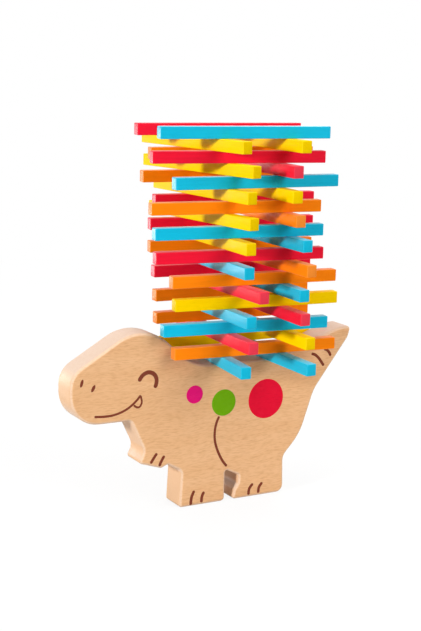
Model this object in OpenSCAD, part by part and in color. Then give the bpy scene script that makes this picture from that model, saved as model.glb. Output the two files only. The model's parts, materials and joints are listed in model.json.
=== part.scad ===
// Dinosaur balance game: a flat beech dinosaur with a saddle in its back and forty painted
// sticks, stacked crisscross on the saddle in twenty layers of two.
// Millimetres, +Z up, snout towards -X, printed face towards -Y, feet standing on Z = 0.

/* [Sticks] */
// Length of one stick
stick_len = 100; // [70:1:130]
// Width of one stick from side to side
stick_w = 6; // [4:0.25:8]
// Height of one stick
stick_h = 6.7; // [5:0.1:9]
// Bevel along every edge of a stick
stick_bevel = 0.5; // [0.2:0.1:1]

/* [Tower] */
// Middle of the tower, along the slab from its middle
tower_x = 16.5; // [10:0.5:22]
// Distance between the two columns of crosswise sticks, middle to middle
column_gap = 33; // [26:0.5:38]
// Clear space between the slab's front face and the front row of lengthwise sticks
front_row_gap = 10.5; // [8:0.5:16]
// Clear space between the slab's back face and the back row of lengthwise sticks
back_row_gap = 3.5; // [3:0.5:12]
// Air under each layer, so that a stick slides out from between its neighbours
layer_gap = 0.05; // [0.02:0.01:0.2]

/* [Slab] */
// Length of the dinosaur from snout to tail tip
slab_len = 182; // [172:1:200]
// Thickness of the slab
slab_t = 18; // [12:0.5:26]
// Radius of the rounded-over edges
edge_r = 1.8; // [0.6:0.1:1.9]
// Height of the saddle floor above the table
saddle_z = 82.8; // [74:0.1:96]
// Length of the level saddle floor
saddle_len = 57.5; // [51:0.5:63]
// Distance from the middle of the tower to the front end of the saddle floor
saddle_front = 32; // [29:0.5:35]

/* [Head and tail] */
// Run of the neck from the saddle floor to the crown
neck_len = 30.5; // [26:0.5:36]
// Length of the chin from the snout to the throat
chin_len = 36.4; // [32:0.1:40]
// Height of the crown's corner above the saddle floor, before it is rounded
crown_rise = 28; // [20:0.1:34]
// Depth of the chin below the saddle floor
chin_drop = 27.3; // [22:0.1:32]
// Radius of the round chin
chin_r = 17.5; // [8:0.5:19]
// Height of the tail tip's corner above the saddle floor, before it is rounded
tail_rise = 15.4; // [8:0.1:24]

/* [Legs] */
// Front end of the front foot, along the slab from its middle
front_foot_x = -23.4; // [-27:0.1:-18]
// Length of the front foot
front_foot_len = 30; // [24:0.1:34]
// Gap between the two feet at the table
foot_gap = 4.8; // [4:0.1:9]
// Height of the gap between the legs
leg_gap_h = 18.8; // [13:0.1:23]
// Length of the rear foot
rear_foot_len = 35.4; // [29:0.1:39]
// Height of the heel's notch above the table
heel_z = 22; // [17:0.5:27]
// Height of the paw's tip above the table
paw_z = 29.9; // [27:0.1:35]

/* [Hidden] */
layers = 20;
arc_step = 9;
edge_steps = 4;
red = "#e5243f";
blue = "#12b2dc";
yellow = "#fddc10";
orange = "#f58220";
beech = "#e3b680";

// Where the hand laid each stick: paint, shift along the slab, shift across it and turn in
// degrees, away from an even grid. Shifts are in hundredths of a stick's length. Odd layers
// hold the left and right crosswise sticks, even layers the front and back lengthwise ones.
LAYOUT = [
    [[blue, 1, 1.5, -6.5], [blue, 0, -6.5, -1]],
    [[orange, 0.5, 2, -5.5], [yellow, 8, -2, 0]],
    [[red, 1.5, 0.5, -3], [yellow, 2, -1, -0.5]],
    [[blue, -6.5, 1, -7], [orange, 7, 1.5, -3]],
    [[blue, 1.5, 4, -2.5], [red, 1, 0, -3]],
    [[yellow, 1, 2.5, -6], [orange, 5.5, 0, -2.5]],
    [[red, 6.5, 2.5, -0.5], [blue, 0, -0.5, -3.5]],
    [[orange, -2.5, -0.5, -6], [red, 5.5, 0, -5.5]],
    [[blue, 1, 4.5, -4], [orange, 2, -0.5, -1]],
    [[red, -12, 0, -7.5], [orange, 5, 1.5, -10]],
    [[yellow, -0.5, 2.5, -3], [blue, 1.5, 1.5, -2.5]],
    [[blue, -14, -2.5, -7], [red, 3.5, -1.5, -10]],
    [[yellow, -7.5, 1, 6], [orange, -1.5, 4, -3]],
    [[orange, -16, -2, -7.5], [red, 6, 0, -6.5]],
    [[yellow, -5, 4.5, 3.5], [yellow, -3.5, 2, -5]],
    [[blue, -3.5, -2.5, -3.5], [orange, -1, 1.5, -7]],
    [[yellow, -6, 6.8, 9.5], [red, -4, 2.5, -4]],
    [[red, -13, 1.5, -10.5], [orange, 0, -6, -6.5]],
    [[yellow, -12, 2.5, 6], [yellow, -0.5, 2, -3]],
    [[blue, -12, -3, -7], [red, -9.5, -7.5, -6]],
];

function crosswise(layer) = layer % 2 == 1;
function side_name(layer, side) = crosswise(layer)
    ? (side == 0 ? "left" : "right")
    : (side == 0 ? "front" : "back");
function stick_name(layer, side) =
    str("stick_", layer < 10 ? "0" : "", layer, "_", side_name(layer, side));

// Middle of a stick on the even grid, before its own shift
function column_x(side) = tower_x + (side == 0 ? -1 : 1) * column_gap / 2;
function row_y(side) = side == 0
    ? -(slab_t / 2 + front_row_gap + stick_w / 2)
    : slab_t / 2 + back_row_gap + stick_w / 2;
function layer_z(layer) = saddle_z + layer * (layer_gap + stick_h) - stick_h / 2;
function grid_place(layer, side) = crosswise(layer)
    ? [column_x(side), 0, layer_z(layer)]
    : [tower_x, row_y(side), layer_z(layer)];

// Named places along the slab and up it
snout_x = -slab_len / 2;
tail_x = slab_len / 2;
gap_x = front_foot_x + front_foot_len;
rear_toe_x = gap_x + foot_gap;
rear_heel_x = rear_toe_x + rear_foot_len;
saddle_x = tower_x - saddle_front;
crown_z = saddle_z + crown_rise;
chin_z = saddle_z - chin_drop;
tail_z = saddle_z + tail_rise;

// Corners of the slab's outline as [place x, place z, step x, step z, rounding radius],
// anticlockwise seen from the front. Legs and paw stand on the table, head and tail go with
// the saddle floor. Steps and radii are for a slab 182 long, and grow with it.
detail = slab_len / 182;
rear_leg = [
    [rear_toe_x, leg_gap_h, 4.1, -4.2, 1.2],
    [rear_toe_x, leg_gap_h, 4.1, -9.4, 4],
    [rear_toe_x, 0, 1.5, 6.2, 5],
    [rear_toe_x, 0, 0, 0, 2.1],
    [rear_heel_x, 0, 0, 0, 4.5],
    [rear_heel_x, heel_z, -0.6, 0, 7],
];
tail = [
    [rear_heel_x, heel_z, 10.9, 12.3, 36],
    [rear_heel_x, heel_z, 19.8, 38.5, 24],
    [tail_x, tail_z, -1.3, -7.5, 6],
    [tail_x, tail_z, 0.6, -0.6, 2.1],
    [tail_x, tail_z, -9, -1, 30],
    [saddle_x + saddle_len, saddle_z, 0, 0, 25],
];
head = [
    [saddle_x, saddle_z, 0, 0, 28],
    [saddle_x - neck_len, crown_z, 0, 0, 26],
    [snout_x, crown_z, 0, -26.4, 13.5],
    [snout_x, chin_z, 0, 0, chin_r / detail],
    [snout_x + chin_len, chin_z, 0, -0.3, 3],
];
paw = [
    [front_foot_x, paw_z, -22.4, 6.9, 7],
    [front_foot_x, paw_z, -26.1, 0, 2.1],
    [front_foot_x, paw_z, -11.5, -4.7, 2.1],
    [front_foot_x, paw_z, -7.6, -3, 1.5],
    [front_foot_x, paw_z, 1.1, -7.7, 4],
];
front_leg = [
    [front_foot_x, 0, 0, 0, 2.1],
    [gap_x, 0, 0, 0, 2.5],
    [gap_x, leg_gap_h, 0, 0, 1.2],
];
corners = [for (c = concat(rear_leg, tail, head, paw, front_leg))
    [c[0] + detail * c[2], c[1] + detail * c[3], detail * c[4]]];
rear_corners = len(rear_leg) + len(tail);

// Direction of the edge from corner i to the next one, in degrees
function edge_angle(i) =
    let (a = corners[i % len(corners)], b = corners[(i + 1) % len(corners)])
    atan2(b[1] - a[1], b[0] - a[0]);
function half_circle(angle) = angle > 180 ? angle - 360 : angle < -180 ? angle + 360 : angle;

// Points of one rounded corner as [x, z, outward normal x, outward normal z]. A left turn
// curves about a centre inside the slab, a right turn about one outside it.
function corner_arc(i) =
    let (
        corner = corners[i],
        before = edge_angle(i + len(corners) - 1),
        turn = half_circle(edge_angle(i) - before),
        bend = sign(turn),
        reach = bend * corner[2] / cos(turn / 2),
        inward = before + turn / 2 + 90,
        centre = [corner[0] + reach * cos(inward), corner[1] + reach * sin(inward)],
        steps = max(2, ceil(abs(turn) / arc_step))
    )
    [for (s = [0:steps])
        let (normal = before - 90 + turn * s / steps)
        [
            centre[0] + bend * corner[2] * cos(normal),
            centre[1] + bend * corner[2] * sin(normal),
            cos(normal),
            sin(normal)
        ]];
rear_outline = [for (i = [0:rear_corners - 1]) each corner_arc(i)];
front_outline = [for (i = [rear_corners:len(corners) - 1]) each corner_arc(i)];
outline = concat(rear_outline, front_outline);

// Rounded-over edge as [inset of the outline, y], from the front face to the back face
front_edge = [for (s = [0:edge_steps])
    let (a = 90 * s / edge_steps)
    [edge_r * (1 - sin(a)), -slab_t / 2 + edge_r * (1 - cos(a))]];
edge_profile = concat(
    front_edge,
    [for (s = [edge_steps:-1:0]) [front_edge[s][0], -front_edge[s][1]]]
);

// The flat faces are fans of triangles about a point in the hip and a point in the chest.
// The two fans meet along a line from the leg gap to the tail end of the saddle.
hip = [rear_heel_x - 12 * detail, heel_z];
chest = [saddle_x, saddle_z - 17 * detail];
function fan(hub, loop) =
    [for (i = [0:len(loop) - 1]) [hub, loop[i], loop[(i + 1) % len(loop)]]];
function backwards(loop) = [for (i = [len(loop) - 1:-1:0]) loop[i]];

// One closed skin: a ring of outline points for each step of the edge, and two flat faces
module dinosaur_body() {
    count = len(outline);
    split = len(rear_outline);
    last = count * (len(edge_profile) - 1);
    hubs = last + count;
    skin = [for (step = edge_profile) for (p = outline)
        [p[0] - step[0] * p[2], step[1], p[1] - step[0] * p[3]]];
    hub_points = [for (y = [-slab_t / 2, slab_t / 2]) for (p = [hip, chest]) [p[0], y, p[1]]];
    sides = [for (k = [0:count:last - count]) for (i = [0:count - 1])
        let (next = (i + 1) % count)
        [k + i, k + next, k + count + next, k + count + i]];
    rear_loop = [for (i = [0:split - 1]) i];
    front_loop = [for (i = [split - 1:count]) i % count];
    front_face = concat(
        fan(hubs, backwards(rear_loop)),
        fan(hubs + 1, backwards(front_loop))
    );
    back_face = concat(
        fan(hubs + 2, [for (i = rear_loop) last + i]),
        fan(hubs + 3, [for (i = front_loop) last + i])
    );
    color(beech)
        polyhedron(concat(skin, hub_points), concat(front_face, sides, back_face));
}

// A bar along X with its four long edges bevelled
module bevelled_bar(length, width, height) {
    w = width / 2;
    h = height / 2;
    b = stick_bevel;
    rotate([90, 0, 90])
        linear_extrude(length, center = true)
            polygon([
                [-w, b - h], [b - w, -h], [w - b, -h], [w, b - h],
                [w, h - b], [w - b, h], [b - w, h], [-w, h - b]
            ]);
}

// A stick along X about its middle, bevelled along all twelve edges
module stick_blank() {
    intersection() {
        bevelled_bar(stick_len, stick_w, stick_h);
        rotate([0, 0, 90])
            bevelled_bar(stick_w, stick_len, stick_h);
        rotate([0, 90, 0])
            bevelled_bar(stick_h, stick_w, stick_len);
    }
}

module stick(layer, side) {
    laid = LAYOUT[layer - 1][side];
    shift = [laid[1], laid[2], 0] * stick_len / 100;
    color(laid[0])
        translate(grid_place(layer, side) + shift)
            rotate([0, 0, laid[3] + (crosswise(layer) ? 90 : 0)])
                stick_blank();
}

dinosaur_body();
for (layer = [1:layers])
    for (side = [0:1])
        stick(layer, side);
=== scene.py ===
"""Looks of a dinosaur balance game: a flat beech dinosaur that carries a tower of painted sticks.

Shapes are worked out in millimetres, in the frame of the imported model: snout towards -X, printed
face towards -Y, feet on Z = 0. Each piece is put into its mesh in metres.
"""
import json
import logging
import math
from dataclasses import dataclass, field
from enum import Enum

import bpy
import numpy as np
from mathutils import Matrix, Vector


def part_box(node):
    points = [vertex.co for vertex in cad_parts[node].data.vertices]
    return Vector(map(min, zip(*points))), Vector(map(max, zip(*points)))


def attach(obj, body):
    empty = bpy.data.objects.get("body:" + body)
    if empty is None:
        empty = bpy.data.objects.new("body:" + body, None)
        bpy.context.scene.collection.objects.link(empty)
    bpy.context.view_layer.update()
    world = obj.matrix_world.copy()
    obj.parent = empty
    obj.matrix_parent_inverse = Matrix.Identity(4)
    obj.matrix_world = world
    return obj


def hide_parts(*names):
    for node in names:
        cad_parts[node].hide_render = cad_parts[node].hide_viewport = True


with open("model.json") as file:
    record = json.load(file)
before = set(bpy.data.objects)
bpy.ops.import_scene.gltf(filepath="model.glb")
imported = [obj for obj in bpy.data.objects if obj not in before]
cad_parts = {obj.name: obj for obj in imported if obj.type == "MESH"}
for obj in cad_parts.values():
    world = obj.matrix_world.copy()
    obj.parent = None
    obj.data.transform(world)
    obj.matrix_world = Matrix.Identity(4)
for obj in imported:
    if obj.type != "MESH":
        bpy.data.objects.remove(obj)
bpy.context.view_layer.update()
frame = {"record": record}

log = logging.getLogger("balance_game")
MM = 0.001
SLAB_THICKNESS = 18.0
SLAB_EDGE_RADIUS = 1.8
# Inset of the ring that keeps a flat face flat, in radii of the rounded edge
FLAT_RING = 1.08
# Steps between two knots of a printed line
CURVE_STEPS = 32
SENSOR_WIDTH = 36.0
# What the lamps look at, in metres
GAME_MIDDLE = (0.0, 0.0, 0.11)
GLARE_MIDDLE = (0.0, 0.0, 0.15)

Rgb = tuple[float, float, float]
Place = tuple[float, float, float]
Corner = tuple[float, float, float]
Span = tuple[float, float]
Socket = bpy.types.NodeSocket
Colour = Socket | Rgb


class Face(Enum):
    """The two flat faces of the slab, as the sign of the side of Y that each looks to."""

    FRONT = -1
    BACK = 1


class Ends(Enum):
    """How a printed stroke ends: in a half circle of its own width, or drawn out to an oval."""

    ROUND = "round"
    OVAL = "oval"


# Shapes


@dataclass
class Shell:
    """A closed skin, with what its finish reads at each point.

    Attributes:
        points: Places in millimetres, one row each.
        corners: Points of every face in a row, face after face, anticlockwise from outside.
        sizes: How many of those belong to each face.
        grain: Place of each point in its own board, in millimetres, with X along the grain.
        edge: 0 on a flat face, 1 where the edge is rounded over.
        end: 1 on sawn end grain, 0 elsewhere.
    """

    points: np.ndarray
    corners: np.ndarray
    sizes: np.ndarray
    grain: np.ndarray
    edge: np.ndarray
    end: np.ndarray

    def turned_over(self, points: np.ndarray) -> "Shell":
        """Gives the skin mirrored points, and each face the other way round."""
        return Shell(points, self.corners[::-1], self.sizes[::-1], points.copy(), self.edge, self.end)

    def piece(self, name: str, material: bpy.types.Material) -> bpy.types.Object:
        """Makes the skin a smooth-shaded object at the origin.

        Args:
            name: Name of the object and of its mesh.
            material: Finish of the whole skin.

        Returns:
            The new object, linked to the scene.
        """
        mesh = bpy.data.meshes.new(name)
        mesh.vertices.add(len(self.points))
        mesh.vertices.foreach_set("co", (self.points * MM).ravel())
        mesh.loops.add(len(self.corners))
        mesh.loops.foreach_set("vertex_index", self.corners)
        mesh.polygons.add(len(self.sizes))
        mesh.polygons.foreach_set("loop_start", np.cumsum(self.sizes) - self.sizes)
        mesh.polygons.foreach_set("use_smooth", np.ones(len(self.sizes), bool))
        mesh.update(calc_edges=True)
        mesh.attributes.new("grain", "FLOAT_VECTOR", "POINT").data.foreach_set("vector", self.grain.ravel())
        mesh.attributes.new("edge", "FLOAT", "POINT").data.foreach_set("value", self.edge)
        mesh.attributes.new("end", "FLOAT", "POINT").data.foreach_set("value", self.end)
        mesh.materials.append(material)
        mesh.validate()
        made = bpy.data.objects.new(name, mesh)
        bpy.context.scene.collection.objects.link(made)
        return made


def join_shells(shells: list[Shell]) -> Shell:
    """Puts several closed skins into one, each with its own points.

    Args:
        shells: The skins to join.

    Returns:
        One skin that holds them all.
    """
    starts = np.cumsum([0] + [len(s.points) for s in shells[:-1]])
    return Shell(
        np.concatenate([s.points for s in shells]),
        np.concatenate([s.corners + start for s, start in zip(shells, starts)]),
        np.concatenate([s.sizes for s in shells]),
        np.concatenate([s.grain for s in shells]),
        np.concatenate([s.edge for s in shells]),
        np.concatenate([s.end for s in shells]),
    )


@dataclass(frozen=True)
class Outline:
    """A closed curve in the X-Z plane, anticlockwise from the front, with outward normals."""

    points: np.ndarray
    normals: np.ndarray

    @classmethod
    def from_corners(cls, corners: np.ndarray, steps: int) -> "Outline":
        """Rounds every corner of a polygon with an arc that touches both of its edges.

        The arc's centre lies on the bisector of the corner, at radius / cos(half the turn) from
        it: inside for a left turn, outside for a right turn. A point of the arc is the centre plus
        or minus radius times the outward normal, which turns evenly from one edge to the next.

        Args:
            corners: Rows of x, z and rounding radius, anticlockwise.
            steps: Steps in each arc.

        Returns:
            The rounded curve.
        """
        place, radius = corners[:, :2], corners[:, 2]
        run = np.roll(place, -1, axis=0) - place
        after = np.arctan2(run[:, 1], run[:, 0])
        before = np.roll(after, 1)
        turn = (after - before + math.pi) % (2 * math.pi) - math.pi
        bend = np.sign(turn)
        inward = before + turn / 2 + math.pi / 2
        reach = bend * radius / np.cos(turn / 2)
        centre = place + reach[:, None] * np.stack([np.cos(inward), np.sin(inward)], axis=1)
        angle = before[:, None] - math.pi / 2 + turn[:, None] * np.linspace(0, 1, steps + 1)
        normal = np.stack([np.cos(angle), np.sin(angle)], axis=-1)
        point = centre[:, None] + (bend * radius)[:, None, None] * normal
        return cls(point.reshape(-1, 2), normal.reshape(-1, 2))


def rounded_board(outline: Outline, thickness: float, edge_radius: float, edge_steps: int) -> Shell:
    """Cuts an outline from a board and rounds its edges over.

    The skin is a grid of the outline's points by the steps of the edge. At angle a of the quarter
    round, the outline is drawn in along its normals by radius * (1 - sin a), and lies
    radius * (1 - cos a) below the flat face. One more ring on each flat face, a little further
    in, keeps the shading of that face flat.

    Args:
        outline: Curve in X-Z.
        thickness: Thickness of the board, along Y about 0.
        edge_radius: Radius of the quarter round, less than any outward corner's radius.
        edge_steps: Steps of the quarter round.

    Returns:
        The closed skin, with its grain along X.
    """
    a = np.linspace(0, math.pi / 2, edge_steps + 1)
    inset = np.concatenate([[edge_radius * FLAT_RING], edge_radius * (1 - np.sin(a))])
    depth = np.concatenate([[0.0], edge_radius * (1 - np.cos(a))]) - thickness / 2
    inset = np.concatenate([inset, inset[::-1]])
    depth = np.concatenate([depth, -depth[::-1]])
    flat = outline.points[None] - inset[:, None, None] * outline.normals[None]
    rings, count = flat.shape[:2]
    level = np.broadcast_to(depth[:, None], (rings, count))
    points = np.stack([flat[..., 0], level, flat[..., 1]], axis=-1)
    k, i = np.meshgrid(np.arange(rings - 1) * count, np.arange(count), indexing="ij")
    j = (i + 1) % count
    sides = np.stack([k + i, k + count + i, k + count + j, k + j], axis=-1)
    front = np.arange(count)
    back = np.arange(rings * count - 1, (rings - 1) * count - 1, -1)
    corners = np.concatenate([front, back, sides.ravel()])
    sizes = np.concatenate([[count, count], np.full((rings - 1) * count, 4)])
    edge = np.broadcast_to((1 - np.clip(inset / edge_radius, 0, 1))[:, None], (rings, count))
    end = np.abs(outline.normals[:, 0])[None] * edge
    points = points.reshape(-1, 3)
    return Shell(points, corners, sizes, points.copy(), edge.ravel().copy(), end.ravel().copy())


def capped_tube(rings: np.ndarray, first: np.ndarray, last: np.ndarray) -> Shell:
    """Joins a row of closed rings and closes both ends in a point.

    Args:
        rings: Grid of rings by points by x, y, z. Along a ring, cross the way to the next ring,
            gives the outward side.
        first: Point that closes the first ring.
        last: Point that closes the last ring.

    Returns:
        The closed skin.
    """
    total, count = rings.shape[:2]
    k, i = np.meshgrid(np.arange(total - 1) * count, np.arange(count), indexing="ij")
    j = (i + 1) % count
    sides = np.stack([k + i, k + j, k + count + j, k + count + i], axis=-1)
    i, j = np.arange(count), (np.arange(count) + 1) % count
    tip, tail = total * count, total * count + 1
    begin = np.stack([np.full(count, tip), j, i], axis=1)
    finish = np.stack([np.full(count, tail), (total - 1) * count + i, (total - 1) * count + j], axis=1)
    corners = np.concatenate([sides.ravel(), begin.ravel(), finish.ravel()])
    sizes = np.concatenate([np.full((total - 1) * count, 4), np.full(2 * count, 3)])
    points = np.concatenate([rings.reshape(-1, 3), [first, last]])
    zero = np.zeros(len(points))
    return Shell(points, corners, sizes, points.copy(), zero, zero.copy())


def smooth_path(knots: np.ndarray, share: np.ndarray) -> tuple[np.ndarray, np.ndarray, float]:
    """Draws a smooth curve through a few knots.

    Between two knots the curve is the cubic whose slope at each knot is half the step from the
    knot before to the knot after it. Points are then spaced by length.

    Args:
        knots: Rows of x and z.
        share: Shares of the curve's length, from 0 to 1, at which points are wanted.

    Returns:
        The points, their unit tangents, and the curve's length.
    """
    ends = np.concatenate([[2 * knots[0] - knots[1]], knots, [2 * knots[-1] - knots[-2]]])
    t = np.linspace(0, 1, CURVE_STEPS + 1)[:, None]
    p0, p1, p2, p3 = (ends[n:len(ends) - 3 + n, None] for n in range(4))
    square = 2 * p0 - 5 * p1 + 4 * p2 - p3
    cube = 3 * p1 - p0 - 3 * p2 + p3
    curve = 0.5 * (2 * p1 + (p2 - p0) * t + square * t**2 + cube * t**3)
    curve = np.concatenate([curve[:, :-1].reshape(-1, 2), knots[-1:]])
    along = np.concatenate([[0], np.cumsum(np.linalg.norm(np.diff(curve, axis=0), axis=1))])
    slope = np.gradient(curve, axis=0)
    at = share * along[-1]
    point = np.stack([np.interp(at, along, curve[:, n]) for n in range(2)], axis=1)
    way = np.stack([np.interp(at, along, slope[:, n]) for n in range(2)], axis=1)
    return point, way / np.linalg.norm(way, axis=1, keepdims=True), float(along[-1])


# Finishes


@dataclass(frozen=True)
class Streak:
    """Noise drawn out along the grain.

    Attributes:
        along: Features in each millimetre along the grain.
        across: Features in each millimetre across it.
        detail: Octaves.
        span: Values of the noise at which the streaks begin to show, and show in full.
        share: How much of their colour shows where they show in full.
    """

    along: float
    across: float
    detail: float
    span: Span = (0.0, 1.0)
    share: float = 1.0


@dataclass(frozen=True)
class Fleck:
    """Short lens-shaped flecks, one about the middle of each cell of an uneven lattice.

    Attributes:
        along: Cells in each millimetre along the grain.
        across: Cells in each millimetre across it.
        span: Shares of a cell, from its middle, at which a fleck has faded out, and is full.
        share: How much of their colour shows where they are full.
    """

    along: float
    across: float
    span: Span
    share: float


class FinishSheet:
    """The node tree of one material, with short calls to add nodes and join them."""

    def __init__(self, name: str) -> None:
        """Starts a material whose Principled shader is its surface."""
        self.material = bpy.data.materials.new(name)
        self.material.use_nodes = True
        self.nodes = self.material.node_tree.nodes
        self.links = self.material.node_tree.links
        self.shader = self.nodes["Principled BSDF"]

    def add(self, kind: str, **settings: object) -> bpy.types.Node:
        """Adds a node of that kind and sets its properties."""
        node = self.nodes.new(kind)
        for key, value in settings.items():
            setattr(node, key, value)
        return node

    def join(self, source: Socket, target: Socket) -> None:
        """Joins an output to an input."""
        self.links.new(source, target)

    def set(self, **values: object) -> None:
        """Sets the shader's own sockets, with underscores for the spaces in their names."""
        for key, value in values.items():
            self.shader.inputs[key.replace("_", " ")].default_value = value

    def surface(self, colour: Socket, roughness: Socket) -> None:
        """Joins the colour and the roughness to the shader."""
        self.join(colour, self.shader.inputs["Base Color"])
        self.join(roughness, self.shader.inputs["Roughness"])

    def read(self, attribute: str) -> bpy.types.Node:
        """Adds a node that reads one of the piece's own attributes."""
        return self.add("ShaderNodeAttribute", attribute_name=attribute)

    def stretched(self, place: Socket, along: float, across: float) -> Socket:
        """Scales a place in millimetres along the grain and across it.

        Args:
            place: The place, with X along the grain.
            along: Factor along the grain.
            across: Factor in the two directions across it.

        Returns:
            The scaled place.
        """
        made = self.add("ShaderNodeVectorMath", operation="MULTIPLY")
        made.inputs[1].default_value = (along, across, across)
        self.join(place, made.inputs[0])
        return made.outputs[0]

    def noise(self, place: Socket, streak: Streak) -> Socket:
        """Adds the noise of a streak.

        Args:
            place: Where the noise is read, in millimetres.
            streak: How it is drawn out.

        Returns:
            The noise's value, from 0 to 1.
        """
        made = self.add("ShaderNodeTexNoise")
        made.inputs["Scale"].default_value = 1.0
        made.inputs["Detail"].default_value = streak.detail
        self.join(self.stretched(place, streak.along, streak.across), made.inputs["Vector"])
        return made.outputs["Fac"]

    def flecks(self, place: Socket, fleck: Fleck) -> Socket:
        """Adds flecks.

        Args:
            place: Where the flecks are read, in millimetres.
            fleck: Their size and spacing.

        Returns:
            The flecks, 1 in their middle and 0 between them.
        """
        made = self.add("ShaderNodeTexVoronoi", feature="F1")
        made.inputs["Scale"].default_value = 1.0
        self.join(self.stretched(place, fleck.along, fleck.across), made.inputs["Vector"])
        return self.band(made.outputs["Distance"], fleck.span)

    def band(self, value: Socket, span: Span, target: Span = (0.0, 1.0)) -> Socket:
        """Maps a value from one span to another, and holds it there.

        Args:
            value: The value.
            span: What is mapped to the two ends of the target.
            target: The span that results.

        Returns:
            The mapped value.
        """
        made = self.add("ShaderNodeMapRange", clamp=True)
        names = ("From Min", "From Max", "To Min", "To Max")
        for name, number in zip(names, (*span, *target)):
            made.inputs[name].default_value = number
        self.join(value, made.inputs["Value"])
        return made.outputs["Result"]

    def shown(self, noise: Socket, streak: Streak) -> Socket:
        """Maps a streak's noise to how much of its colour shows."""
        return self.band(noise, streak.span, (0.0, streak.share))

    def part(self, value: Socket, share: float) -> Socket:
        """Takes a share of a value that goes from 0 to 1."""
        return self.band(value, (0.0, 1.0), (0.0, share))

    def inverse(self, value: Socket) -> Socket:
        """Turns a value that goes from 0 to 1 the other way round."""
        return self.band(value, (1.0, 0.0))

    def times(self, a: Socket, b: Socket) -> Socket:
        """Multiplies two values."""
        made = self.add("ShaderNodeMath", operation="MULTIPLY")
        self.join(a, made.inputs[0])
        self.join(b, made.inputs[1])
        return made.outputs[0]

    def blend(self, share: Socket, under: Colour, over: Colour) -> Socket:
        """Lays a colour over another by a share that varies.

        Args:
            share: How much of the upper colour shows.
            under: The lower colour, as a socket or as numbers.
            over: The upper colour, as a socket or as numbers.

        Returns:
            The mixed colour.
        """
        made = self.add("ShaderNodeMix", data_type="RGBA")
        self.join(share, made.inputs["Factor"])
        for target, colour in zip(made.inputs[6:8], (under, over)):
            if isinstance(colour, Socket):
                self.join(colour, target)
            else:
                target.default_value = (*colour, 1)
        return made.outputs[2]

    def bump(self, height: Socket, depth: float) -> None:
        """Raises the surface by a value, by at most that many millimetres.

        Args:
            height: The value, from 0 to 1.
            depth: Height at 1, in millimetres.
        """
        made = self.add("ShaderNodeBump")
        made.inputs["Strength"].default_value = 1.0
        made.inputs["Distance"].default_value = depth * MM
        self.join(height, made.inputs["Height"])
        self.join(made.outputs["Normal"], self.shader.inputs["Normal"])


def scaled(colour: Rgb, factor: float, lift: float = 0.0) -> Rgb:
    """Darkens or lightens a colour by a factor, then moves it towards white by a share."""
    return tuple(min(1.0, c * factor) * (1 - lift) + lift for c in colour)


@dataclass(frozen=True)
class BeechFinish:
    """Fine sanded beech: tan face, short dark grain flecks, warm end grain, painted rim highlights.

    The end span is read on the end attribute. The side, rim highlight, fleck and flat spans are read
    on the edge attribute.
    """

    face: Rgb = (0.79, 0.475, 0.250)
    deep: Rgb = (0.74, 0.42, 0.205)
    fleck: Rgb = (0.53, 0.24, 0.085)
    side: Rgb = (0.66, 0.50, 0.39)
    end_grain: Rgb = (0.70, 0.44, 0.255)
    # Painted highlight: a paler colour laid along the rounded edges, as if they caught the light
    rim_highlight: Rgb = (0.80, 0.57, 0.395)
    wave: Streak = Streak(0.035, 0.035, 1.0)
    wave_height: float = 6.0
    tone: Streak = Streak(0.012, 0.08, 3.0, (0.35, 0.70))
    lines: Streak = Streak(0.025, 0.35, 2.0, (0.42, 0.70), 0.5)
    long_flecks: Streak = Streak(0.18, 1.35, 3.0, (0.47, 0.70), 0.38)
    short_flecks: Fleck = Fleck(0.24, 1.3, (0.44, 0.14), 0.26)
    end_span: Span = (0.72, 0.97)
    side_span: Span = (0.25, 1.0)
    rim_highlight_rise_span: Span = (0.1, 0.45)
    rim_highlight_fall_span: Span = (0.98, 0.6)
    rim_highlight_share: float = 0.7
    fleck_span: Span = (1.6, 0.0)
    flat_span: Span = (0.9, 0.1)
    roughness: Span = (0.5, 0.6)
    gloss: float = 0.14
    fleck_depth: float = 0.03

    def material(self) -> bpy.types.Material:
        """Builds the finish.

        Returns:
            The material, which reads the piece's own grain, edge and end attributes.
        """
        sheet = FinishSheet("beech")
        grain = self.wavy_grain(sheet)
        edge, end = sheet.read("edge").outputs["Fac"], sheet.read("end").outputs["Fac"]
        long_flecks = sheet.band(sheet.noise(grain, self.long_flecks), self.long_flecks.span)
        short_flecks = sheet.flecks(grain, self.short_flecks)
        tone = sheet.shown(sheet.noise(grain, self.tone), self.tone)
        lines = sheet.shown(sheet.noise(grain, self.lines), self.lines)
        colour = sheet.blend(tone, self.face, self.deep)
        colour = sheet.blend(lines, colour, self.deep)
        side = sheet.blend(sheet.band(end, self.end_span), self.side, self.end_grain)
        colour = sheet.blend(sheet.band(edge, self.side_span), colour, side)
        # Painted highlight, laid over the middle of each rounded edge
        rounding = sheet.times(sheet.band(edge, self.rim_highlight_rise_span), sheet.band(edge, self.rim_highlight_fall_span))
        colour = sheet.blend(sheet.part(rounding, self.rim_highlight_share), colour, self.rim_highlight)
        faded = sheet.band(edge, self.fleck_span)
        for flecks, kind in ((long_flecks, self.long_flecks), (short_flecks, self.short_flecks)):
            colour = sheet.blend(sheet.times(sheet.part(flecks, kind.share), faded), colour, self.fleck)
        sheet.surface(colour, sheet.band(tone, (0.0, 1.0), self.roughness))
        sheet.set(Specular_IOR_Level=self.gloss)
        flat = sheet.band(edge, self.flat_span)
        sheet.bump(sheet.times(sheet.inverse(long_flecks), flat), self.fleck_depth)
        return sheet.material

    def wavy_grain(self, sheet: FinishSheet) -> Socket:
        """Lifts and lowers the grain a little, so that its lines aren't straight.

        Args:
            sheet: The finish's node tree.

        Returns:
            The place in the board at which the grain is read, in millimetres.
        """
        place = sheet.read("grain").outputs["Vector"]
        lifted = sheet.add("ShaderNodeVectorMath", operation="MULTIPLY_ADD")
        sheet.join(sheet.noise(place, self.wave), lifted.inputs[0])
        lifted.inputs[1].default_value = (0.0, 0.0, self.wave_height)
        sheet.join(place, lifted.inputs[2])
        return lifted.outputs[0]


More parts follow.
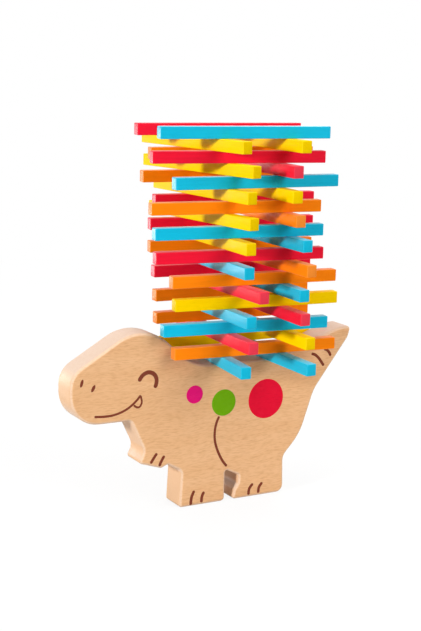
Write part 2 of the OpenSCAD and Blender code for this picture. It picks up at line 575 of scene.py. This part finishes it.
@dataclass(frozen=True)
class PaintFinish:
    """Lacquer on a beech stick: streaks, duller sawn ends, edges thinly painted with a painted highlight.

    A tone is a factor on the paint's colour.
    """

    slot: str
    colour: Rgb
    # thin: paler colour of the rounded edges, for thinner paint there and a painted highlight
    thin: Rgb
    sawn: Rgb
    haze: float
    gloss: float
    streaks: Streak = Streak(0.045, 0.9, 2.0, (0.40, 0.72), 0.5)
    streak_tone: float = 0.86
    cover: Streak = Streak(0.07, 0.16, 2.0, (0.45, 0.75), 0.5)
    cover_tone: float = 1.09
    pores: Fleck = Fleck(0.15, 1.1, (0.26, 0.06), 0.22)
    pore_tone: float = 0.62
    # Where and how much the paler edge colour shows: thinner paint and a painted highlight
    edge_thin_and_highlight_span: Span = (0.15, 0.8)
    edge_thin_and_highlight_share: float = 0.5
    end_span: Span = (0.6, 1.0)
    end_share: float = 0.45
    cover_span: Span = (0.3, 0.7)
    roughness: Span = (0.34, 0.48)
    haze_roughness: float = 0.3
    streak_depth: float = 0.025

    def material(self) -> bpy.types.Material:
        """Builds the finish.

        Returns:
            The material, which reads the piece's own grain, edge and end attributes.
        """
        sheet = FinishSheet(self.slot)
        place = sheet.read("grain").outputs["Vector"]
        streaks = sheet.noise(place, self.streaks)
        pores = sheet.flecks(place, self.pores)
        cover = sheet.noise(place, self.cover)
        edge, end = sheet.read("edge").outputs["Fac"], sheet.read("end").outputs["Fac"]
        layers = (
            (sheet.shown(streaks, self.streaks), scaled(self.colour, self.streak_tone)),
            (sheet.shown(cover, self.cover), scaled(self.colour, self.cover_tone)),
            (sheet.part(pores, self.pores.share), scaled(self.colour, self.pore_tone)),
            # Paler rounded edges: thinner paint, and a painted highlight where the edge would catch light
            (sheet.band(edge, self.edge_thin_and_highlight_span, (0.0, self.edge_thin_and_highlight_share)), self.thin),
            (sheet.band(end, self.end_span, (0.0, self.end_share)), self.sawn),
        )
        colour: Colour = self.colour
        for share, over in layers:
            colour = sheet.blend(share, colour, over)
        sheet.surface(colour, sheet.band(cover, self.cover_span, self.roughness))
        sheet.set(Specular_IOR_Level=self.gloss, Sheen_Weight=self.haze, Sheen_Roughness=self.haze_roughness)
        sheet.bump(streaks, self.streak_depth)
        return sheet.material


@dataclass(frozen=True)
class InkFinish:
    """Ink printed on the beech, through which the wood's flecks still show a little.

    A tone is a factor on the ink's colour, and the lift a share of white.
    """

    slot: str
    colour: Rgb
    flecks: Fleck = Fleck(0.19, 0.80, (0.42, 0.16), 0.35)
    fleck_tone: float = 0.82
    cover: Streak = Streak(0.22, 0.45, 2.0, (0.5, 0.8), 0.4)
    cover_tone: float = 1.08
    cover_lift: float = 0.015
    cover_span: Span = (0.3, 0.7)
    roughness: Span = (0.5, 0.6)
    gloss: float = 0.08
    fleck_depth: float = 0.02

    def material(self) -> bpy.types.Material:
        """Builds the finish.

        Returns:
            The material, which reads the grain at the place where it is printed.
        """
        sheet = FinishSheet(self.slot)
        place = sheet.read("grain").outputs["Vector"]
        flecks = sheet.flecks(place, self.flecks)
        cover = sheet.noise(place, self.cover)
        darker = scaled(self.colour, self.fleck_tone)
        paler = scaled(self.colour, self.cover_tone, self.cover_lift)
        colour = sheet.blend(sheet.part(flecks, self.flecks.share), self.colour, darker)
        colour = sheet.blend(sheet.shown(cover, self.cover), colour, paler)
        sheet.surface(colour, sheet.band(cover, self.cover_span, self.roughness))
        sheet.set(Specular_IOR_Level=self.gloss)
        sheet.bump(sheet.inverse(flecks), self.fleck_depth)
        return sheet.material


# Each paint: slot, colour, paler edge colour (thin paint and painted highlight), sawn colour, haze, gloss
PAINTS = (
    PaintFinish("red_paint", (0.84, 0.006, 0.032), (0.95, 0.12, 0.15), (0.58, 0.07, 0.105), 0.3, 0.09),
    PaintFinish("blue_paint", (0.0, 0.45, 0.665), (0.08, 0.62, 0.82), (0.0, 0.38, 0.54), 0.6, 0.14),
    PaintFinish("yellow_paint", (0.96, 0.63, 0.0), (1.0, 0.74, 0.03), (0.62, 0.42, 0.0), 0.0, 0.015),
    PaintFinish("orange_paint", (0.96, 0.225, 0.002), (0.98, 0.40, 0.09), (0.62, 0.245, 0.055), 0.3, 0.05),
)
BROWN_INK = InkFinish("brown_print", (0.192, 0.0425, 0.0215))
MAGENTA_INK = InkFinish("magenta_print", (0.74, 0.004, 0.165))
GREEN_INK = InkFinish("green_print", (0.135, 0.35, 0.0))
RED_INK = InkFinish("red_print", (0.695, 0.002, 0.027))


# The game


@dataclass
class DinosaurSlab:
    """The beech dinosaur: an outline sawn from one board, with its edges rounded over.

    Each row of the legs, tail, head and paw is a corner's x, z and rounding radius.
    """

    thickness: float = SLAB_THICKNESS
    edge_radius: float = SLAB_EDGE_RADIUS
    arc_steps: int = 12
    edge_steps: int = 8
    rear_leg: tuple[Corner, ...] = (
        (15.5, 14.6, 1.2), (15.5, 9.4, 4.0), (12.9, 6.2, 5.0), (11.4, 0.0, 2.1), (46.8, 0.0, 4.5),
        (46.2, 22.0, 7.0),
    )
    tail: tuple[Corner, ...] = (
        (57.7, 34.3, 36.0), (66.6, 60.5, 24.0), (89.7, 90.7, 6.0), (91.6, 97.6, 2.1), (82.0, 97.2, 30.0),
        (42.0, 82.8, 25.0),
    )
    head: tuple[Corner, ...] = (
        (-15.5, 82.8, 28.0), (-46.0, 110.8, 26.0), (-91.0, 84.4, 13.5), (-91.0, 55.5, 17.5),
        (-54.6, 55.2, 3.0),
    )
    paw: tuple[Corner, ...] = (
        (-45.8, 36.8, 7.0), (-49.5, 29.9, 2.1), (-34.9, 25.2, 2.1), (-31.0, 26.9, 1.5), (-22.3, 22.2, 4.0),
    )
    front_leg: tuple[Corner, ...] = ((-23.4, 0.0, 2.1), (6.6, 0.0, 2.5), (6.6, 18.8, 1.2))

    def build(self, finish: BeechFinish) -> bpy.types.Object:
        """Saws the board, dresses it and sets it in the place of the plain body.

        Args:
            finish: Finish of the wood.

        Returns:
            The slab.
        """
        corners = np.array([*self.rear_leg, *self.tail, *self.head, *self.paw, *self.front_leg])
        outline = Outline.from_corners(corners, self.arc_steps)
        shell = rounded_board(outline, self.thickness, self.edge_radius, self.edge_steps)
        made = shell.piece("dinosaur_slab", finish.material())
        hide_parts("dinosaur_body")
        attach(made, "dinosaur_body")
        return made


@dataclass(frozen=True)
class Stroke:
    """One printed line: its knots on the face as x and z, its width, and how it ends."""

    knots: tuple[tuple[float, float], ...]
    width: float = 1.3
    ends: Ends = Ends.ROUND

    def film(self, height: float, steps: int = 48, around: int = 12) -> Shell:
        """Lays the line as a thin film about the plane y = 0.

        A flat oval is carried along the line: half the width to each side, and the height above
        and below. Towards a round end, half the width follows a circle; an oval stroke's width
        is the sine of its way from end to end.

        Args:
            height: Height of the film above the face, and its depth below it.
            steps: Steps along the line.
            around: Points around the oval.

        Returns:
            The closed film, with the viewer on the side of -Y.
        """
        turn = np.linspace(0, math.pi, steps + 1)[1:-1]
        point, way, length = smooth_path(np.array(self.knots), (1 - np.cos(turn)) / 2)
        half = self.width / 2
        if self.ends is Ends.OVAL:
            reach = half * np.sin(turn)
        else:
            left = np.minimum((1 - np.cos(turn)) / 2, (1 + np.cos(turn)) / 2) * length
            reach = half * np.sqrt(1 - (1 - np.minimum(left / half, 1)) ** 2)
        side = np.stack([-way[:, 1], way[:, 0]], axis=1)
        a = np.linspace(0, 2 * math.pi, around, endpoint=False)
        flat = point[:, None] + side[:, None] * (reach[:, None] * np.cos(a))[..., None]
        rise = height * np.sqrt(reach / half)[:, None] * np.sign(np.sin(a)) * np.sqrt(np.abs(np.sin(a)))
        rings = np.stack([flat[..., 0], -rise, flat[..., 1]], axis=-1)
        first, last = (np.array([x, 0, z]) for x, z in (self.knots[0], self.knots[-1]))
        return capped_tube(rings, first, last)


@dataclass(frozen=True)
class Spot:
    """One printed round spot: its middle on the face as x and z, its radius and its ink.

    Its profile is a row of shares of the radius and of the film's height, from front to back.
    """

    name: str
    middle: tuple[float, float]
    radius: float
    ink: InkFinish
    profile: tuple[Span, ...] = (
        (0.5, 1.0), (0.9, 1.0), (0.985, 0.8), (1.0, 0.0), (0.985, -0.8), (0.5, -1.0),
    )

    def film(self, height: float, around: int = 96) -> Shell:
        """Lays the spot as a thin disc about the plane y = 0, turned from a flat oval profile.

        Args:
            height: Height of the film above the face, and its depth below it.
            around: Points around the spot.

        Returns:
            The closed film, with the viewer on the side of -Y.
        """
        reach, rise = np.array(self.profile).T * np.array([[self.radius], [height]])
        a = -np.linspace(0, 2 * math.pi, around, endpoint=False)
        x, z = self.middle
        across, up = reach[:, None] * np.cos(a), reach[:, None] * np.sin(a)
        level = np.broadcast_to(-rise[:, None], across.shape)
        rings = np.stack([x + across, level, z + up], axis=-1)
        return capped_tube(rings, np.array([x, -height, z]), np.array([x, height, z]))


@dataclass
class FacePrint:
    """The ink on one flat face of the slab: face, claws, toes, leg crease, tail stripes, spots."""

    face: Face
    slab_thickness: float = SLAB_THICKNESS
    edge_radius: float = SLAB_EDGE_RADIUS
    film_height: float = 0.05
    strokes: tuple[Stroke, ...] = (
        Stroke(((-84.9, 77.7), (-83.7, 82.0)), 1.75, Ends.OVAL),
        Stroke(((-78.5, 74.4), (-76.5, 78.2)), 1.85, Ends.OVAL),
        Stroke(
            (
                (-50.1, 77.5), (-48.4, 80.1), (-46.3, 81.6), (-43.8, 82.1),
                (-40.9, 80.9), (-39.3, 78.4), (-39.2, 75.5), (-40.2, 72.8),
            ),
            2.42,
        ),
        Stroke(
            (
                (-76.8, 60.3), (-70.8, 59.8), (-65.4, 60.0), (-60.0, 61.3),
                (-55.3, 63.6), (-51.3, 66.8), (-48.8, 69.6),
            ),
            1.36,
        ),
        Stroke(
            ((-48.9, 69.4), (-48.2, 66.3), (-48.4, 64.4), (-49.6, 62.9), (-51.3, 63.0), (-53.1, 64.3)),
            1.2,
        ),
        Stroke(
            (
                (1.5, 51.7), (-0.2, 48.0), (-1.2, 43.0), (-0.9, 37.0),
                (1.1, 30.8), (4.1, 25.1), (7.3, 21.0),
            ),
            1.58,
        ),
        Stroke(((-38.2, 34.8), (-40.2, 32.2), (-42.2, 29.2)), 1.78),
        Stroke(((-33.5, 32.8), (-35.3, 29.9), (-36.7, 26.9)), 1.75),
        Stroke(((-13.9, 9.3), (-15.6, 5.4), (-16.1, 0.8)), 1.9),
        Stroke(((-7.5, 7.8), (-8.8, 4.8), (-9.1, 1.4)), 1.85),
        Stroke(((25.4, 8.0), (23.0, 5.2), (22.5, 1.4)), 1.85),
        Stroke(((31.8, 7.9), (29.6, 5.0), (29.2, 1.6)), 1.85),
        Stroke(((63.4, 82.9), (66.2, 81.9), (68.6, 79.8), (70.7, 77.2), (72.5, 74.7)), 1.75),
        Stroke(((72.2, 85.0), (74.25, 84.25), (75.8, 82.8), (77.3, 80.3)), 1.75),
    )
    spots: tuple[Spot, ...] = (
        Spot("magenta_spot", (-14.8, 66.3), 5.3, MAGENTA_INK),
        Spot("green_spot", (4.3, 59.5), 7.8, GREEN_INK),
        Spot("red_spot", (32.6, 58.8), 11.8, RED_INK),
    )

    def place(self, film: Shell) -> Shell:
        """Moves a film from the plane y = 0 to the face, turned over for the back.

        At the soles the face falls away in the quarter round of the slab's edge. There, at height
        z below its radius r, the film lies r - sqrt(r * r - (r - z) * (r - z)) further in.

        Args:
            film: Film seen from the side of -Y.

        Returns:
            The film on its face. On the back its points are mirrored, so its faces are reversed.
        """
        r = self.edge_radius
        fall = r - np.sqrt(r * r - np.clip(r - film.points[:, 2], 0, r) ** 2)
        points = film.points + np.stack([0 * fall, fall - self.slab_thickness / 2, 0 * fall], axis=1)
        if self.face is Face.FRONT:
            return Shell(points, film.corners, film.sizes, points.copy(), film.edge, film.end)
        return film.turned_over(points * np.array([1, -1, 1]))

    def build(self) -> list[bpy.types.Object]:
        """Prints the lines as one piece and each spot as its own.

        Returns:
            The printed pieces.
        """
        side = self.face.name.lower()
        lines = join_shells([self.place(stroke.film(self.film_height)) for stroke in self.strokes])
        made = [self.dress(lines, f"lines_{side}", BROWN_INK)]
        for spot in self.spots:
            film = self.place(spot.film(self.film_height))
            made.append(self.dress(film, f"{spot.name}_{side}", spot.ink))
        return made

    def dress(self, film: Shell, name: str, ink: InkFinish) -> bpy.types.Object:
        """Makes a film a piece of the dinosaur in its ink.

        Args:
            film: Film in its place.
            name: Name of the piece.
            ink: Its ink.

        Returns:
            The piece, which rides on the dinosaur.
        """
        made = film.piece(name, bpy.data.materials.get(ink.slot) or ink.material())
        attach(made, "dinosaur_body")
        return made


@dataclass
class StickTower:
    """The forty painted sticks, each where the hand laid it.

    A row of turns is for one layer, from the lowest: its two sticks' angles in degrees. The grain
    shift is how far a stick's grain is moved for each millimetre of its place, so that no two
    sticks share it.
    """

    length: float = 100.0
    width: float = 6.0
    height: float = 6.7
    corner: float = 0.5
    edge_radius: float = 0.42
    arc_steps: int = 5
    edge_steps: int = 5
    turns: tuple[tuple[float, float], ...] = (
        (-6.5, -1), (-5.5, 0), (-3, -0.5), (-7, -3), (-2.5, -3), (-6, -2.5), (-0.5, -3.5),
        (-6, -5.5), (-4, -1), (-7.5, -10), (-3, -2.5), (-7, -10), (6, -3), (-7.5, -6.5),
        (3.5, -5), (-3.5, -7), (9.5, -4), (-10.5, -6.5), (6, -3), (-7, -6),
    )
    grain_shift: Place = (17.0, 3.0, 5.0)
    sides: tuple[tuple[str, str], tuple[str, str]] = (("front", "back"), ("left", "right"))
    paints: dict[str, bpy.types.Material] = field(default_factory=dict)

    def blank(self) -> Shell:
        """Shapes one stick along X about the origin, with every edge rounded.

        Returns:
            The closed skin of a stick.
        """
        x, z = self.length / 2, self.height / 2
        places = ((-x, -z), (x, -z), (x, z), (-x, z))
        corners = np.array([(*place, self.corner) for place in places])
        outline = Outline.from_corners(corners, self.arc_steps)
        shell = rounded_board(outline, self.width, self.edge_radius, self.edge_steps)
        reach = np.abs(shell.points) - np.array([x, self.width / 2, z])
        shell.end = np.clip(1 + reach[:, 0] / self.edge_radius, 0, 1)
        shell.edge = np.clip(np.sort(2 + reach / self.edge_radius, axis=1)[:, 1] - 1, 0, 1)
        return shell

    def build(self) -> list[bpy.types.Object]:
        """Lays and paints every stick in the place of its plain solid.

        Returns:
            The sticks.
        """
        slots = {s["node"]: s["material_slot"] for s in frame["record"]["subparts"]}
        self.paints = {paint.slot: paint.material() for paint in PAINTS}
        blank = self.blank()
        made = []
        for layer, turns in enumerate(self.turns, start=1):
            across = layer % 2
            for side, turn in zip(self.sides[across], turns):
                node = f"stick_{layer:02d}_{side}"
                made.append(self.lay(blank, node, turn + 90 * across, slots[node]))
        return made

    def lay(self, blank: Shell, node: str, turn: float, slot: str) -> bpy.types.Object:
        """Turns a stick about the vertical and moves it to the middle of its solid's box.

        Args:
            blank: A stick along X about the origin.
            node: Name of the plain solid that it stands for.
            turn: Angle from X, in degrees.
            slot: Material slot of its paint.

        Returns:
            The painted stick.
        """
        low, high = (np.array(corner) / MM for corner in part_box(node))
        c, s = math.cos(math.radians(turn)), math.sin(math.radians(turn))
        points = blank.points @ np.array([[c, s, 0], [-s, c, 0], [0, 0, 1]]) + (low + high) / 2
        board = blank.grain + low[[2, 0, 1]] * np.array(self.grain_shift)
        stick = Shell(points, blank.corners, blank.sizes, board, blank.edge, blank.end)
        made = stick.piece(f"painted_{node}", self.paints[slot])
        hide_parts(node)
        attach(made, node)
        return made


# The studio


@dataclass
class Lamp:
    """A soft lamp: where it stands and what it looks at, in metres, its width and its power.

    A lamp that lights no matt surfaces stands for a bright panel that is only seen in the gloss,
    and one that is not seen in the gloss fills shade without a glare.
    """

    name: str
    place: Place
    target: Place
    width: float
    power: float
    lights_matt: bool = True
    shows_in_gloss: bool = True

    def build(self) -> None:
        """Hangs the lamp and turns it to its target."""
        data = bpy.data.lights.new(self.name, "AREA")
        data.shape, data.size, data.energy = "DISK", self.width, self.power
        lamp = bpy.data.objects.new(self.name, data)
        lamp.visible_camera = False
        lamp.visible_diffuse = self.lights_matt
        lamp.visible_glossy = self.shows_in_gloss
        place, target = np.array(self.place), np.array(self.target)
        lamp.matrix_world = aim(place, target - place, 0.0)
        bpy.context.scene.collection.objects.link(lamp)


def aim(place: np.ndarray, way: np.ndarray, roll: float) -> Matrix:
    """Works out the pose of a lamp or camera, which looks along its own -Z with +Y up.

    Args:
        place: Where it stands, in metres.
        way: Direction that it looks in.
        roll: Angle by which its right side is raised, in radians.

    Returns:
        Its matrix.
    """
    way = way / np.linalg.norm(way)
    right = np.cross(way, (0, 0, 1))
    right /= np.linalg.norm(right)
    right = math.cos(roll) * right + math.sin(roll) * np.cross(right, way)
    pose = np.eye(4)
    pose[:3] = np.stack([right, np.cross(right, way), -way, place], axis=1)
    return Matrix(pose.tolist())


def seen_directly(tree: bpy.types.NodeTree) -> Socket:
    """Adds nodes that tell what is seen from what only lights other surfaces.

    Args:
        tree: Node tree of a material or of the world.

    Returns:
        A value that is 1 to the camera, in reflections and through clear things, and 0 otherwise.
    """
    path = tree.nodes.new("ShaderNodeLightPath")
    seen = path.outputs["Is Camera Ray"]
    for ray in ("Is Glossy Ray", "Is Transmission Ray"):
        either = tree.nodes.new("ShaderNodeMath")
        either.operation = "MAXIMUM"
        tree.links.new(seen, either.inputs[0])
        tree.links.new(path.outputs[ray], either.inputs[1])
        seen = either.outputs[0]
    return seen


@dataclass
class Studio:
    """A white room with a pale floor, soft lamps, and the camera of the photograph.

    The floor's glow and shadow are what is seen of it, and its bounce is how much light it gives
    back. Each is a level near the game and a level at a distance, all in metres from its middle.
    """

    ambient: float = 0.15
    floor_size: float = 8.0
    floor_near: float = 0.15
    floor_far: float = 0.9
    floor_glow: Span = (0.89, 1.0)
    floor_shadow: Span = (0.1, 0.0)
    bounce_far: float = 0.5
    floor_bounce: Span = (0.70, 0.25)
    camera_place: Place = (-0.36424, -0.64823, 0.25513)
    azimuth: float = 29.29
    dip: float = 11.109
    roll: float = 1.233
    lens: float = 75.71
    lamps: tuple[Lamp, ...] = (
        Lamp("key", (-1.40, -0.36, 0.49), GAME_MIDDLE, 0.20, 18.5),
        Lamp("front_fill", (0.60, -1.15, 0.90), GAME_MIDDLE, 1.2, 15.4),
        Lamp("overhead", (0.0, -0.10, 1.61), GAME_MIDDLE, 0.9, 10.0),
        Lamp("top_glare", (0.17, 1.20, 0.81), GAME_MIDDLE, 0.9, 3.0),
        Lamp("back_fill", (0.95, 0.95, 0.75), GAME_MIDDLE, 1.2, 11.0, shows_in_gloss=False),
        Lamp("side_glare", (-0.30, 0.53, 0.07), GLARE_MIDDLE, 0.3, 4.2, lights_matt=False),
    )

    def build(self) -> None:
        """Sets up the room, the lamps and the camera."""
        bpy.context.scene.view_settings.view_transform = "Standard"
        self.light_room()
        self.lay_floor()
        for lamp in self.lamps:
            lamp.build()
        data = bpy.data.cameras.new("camera")
        data.lens, data.sensor_width = self.lens, SENSOR_WIDTH
        camera = bpy.data.objects.new("camera", data)
        a, d = math.radians(self.azimuth), math.radians(self.dip)
        way = np.array([math.sin(a) * math.cos(d), math.cos(a) * math.cos(d), -math.sin(d)])
        camera.matrix_world = aim(np.array(self.camera_place), way, math.radians(self.roll))
        bpy.context.scene.collection.objects.link(camera)
        bpy.context.scene.camera = camera

    def light_room(self) -> None:
        """Makes the room white to the camera and in reflections, and dimmer as a light."""
        world = bpy.data.worlds.new("room")
        bpy.context.scene.world = world
        world.use_nodes = True
        nodes, links = world.node_tree.nodes, world.node_tree.links
        level = nodes.new("ShaderNodeMapRange")
        level.inputs["To Min"].default_value = self.ambient
        links.new(seen_directly(world.node_tree), level.inputs["Value"])
        links.new(level.outputs["Result"], nodes["Background"].inputs["Strength"])
        nodes["Background"].inputs["Color"].default_value = (1, 1, 1, 1)

    def lay_floor(self) -> None:
        """Lays the floor under the soles."""
        half = self.floor_size / 2
        corners = [(-half, -half, 0), (half, -half, 0), (half, half, 0), (-half, half, 0)]
        mesh = bpy.data.meshes.new("floor")
        mesh.from_pydata(corners, [], [(0, 1, 2, 3)])
        mesh.materials.append(self.floor_material())
        floor = bpy.data.objects.new("floor", mesh)
        bpy.context.scene.collection.objects.link(floor)

    def floor_material(self) -> bpy.types.Material:
        """Builds a floor that is white to the camera and keeps a soft shadow of the game.

        As a light it is paper that is brighter near the game than further away.

        Returns:
            The material.
        """
        sheet = FinishSheet("floor")
        sheet.nodes.remove(sheet.shader)
        seen = seen_directly(sheet.material.node_tree)
        away = sheet.add("ShaderNodeVectorMath", operation="LENGTH")
        sheet.join(sheet.add("ShaderNodeTexCoord").outputs["Object"], away.inputs[0])
        levels = (
            (self.floor_far, self.floor_glow),
            (self.floor_far, self.floor_shadow),
            (self.bounce_far, self.floor_bounce),
        )
        glow, shadow, bounce = (
            sheet.band(away.outputs["Value"], (self.floor_near, far), level) for far, level in levels
        )
        for faded in (glow, shadow, bounce):
            faded.node.interpolation_type = "SMOOTHSTEP"
        paper = sheet.add("ShaderNodeBsdfDiffuse")
        sheet.join(sheet.blend(seen, bounce, shadow), paper.inputs["Color"])
        shine = sheet.add("ShaderNodeEmission")
        sheet.join(sheet.times(seen, glow), shine.inputs["Strength"])
        both = sheet.add("ShaderNodeAddShader")
        sheet.join(paper.outputs[0], both.inputs[0])
        sheet.join(shine.outputs[0], both.inputs[1])
        sheet.join(both.outputs[0], sheet.nodes["Material Output"].inputs["Surface"])
        return sheet.material


def main() -> None:
    """Builds the slab, its print, the sticks and the studio, in that order."""
    logging.basicConfig(level=logging.INFO, format="%(name)s: %(message)s")
    made = [DinosaurSlab().build(BeechFinish())]
    for face in Face:
        made += FacePrint(face).build()
    made += StickTower().build()
    Studio().build()
    for piece in made:
        log.info("%s: %d faces", piece.name, len(piece.data.polygons))


if __name__ == "__main__":
    main()
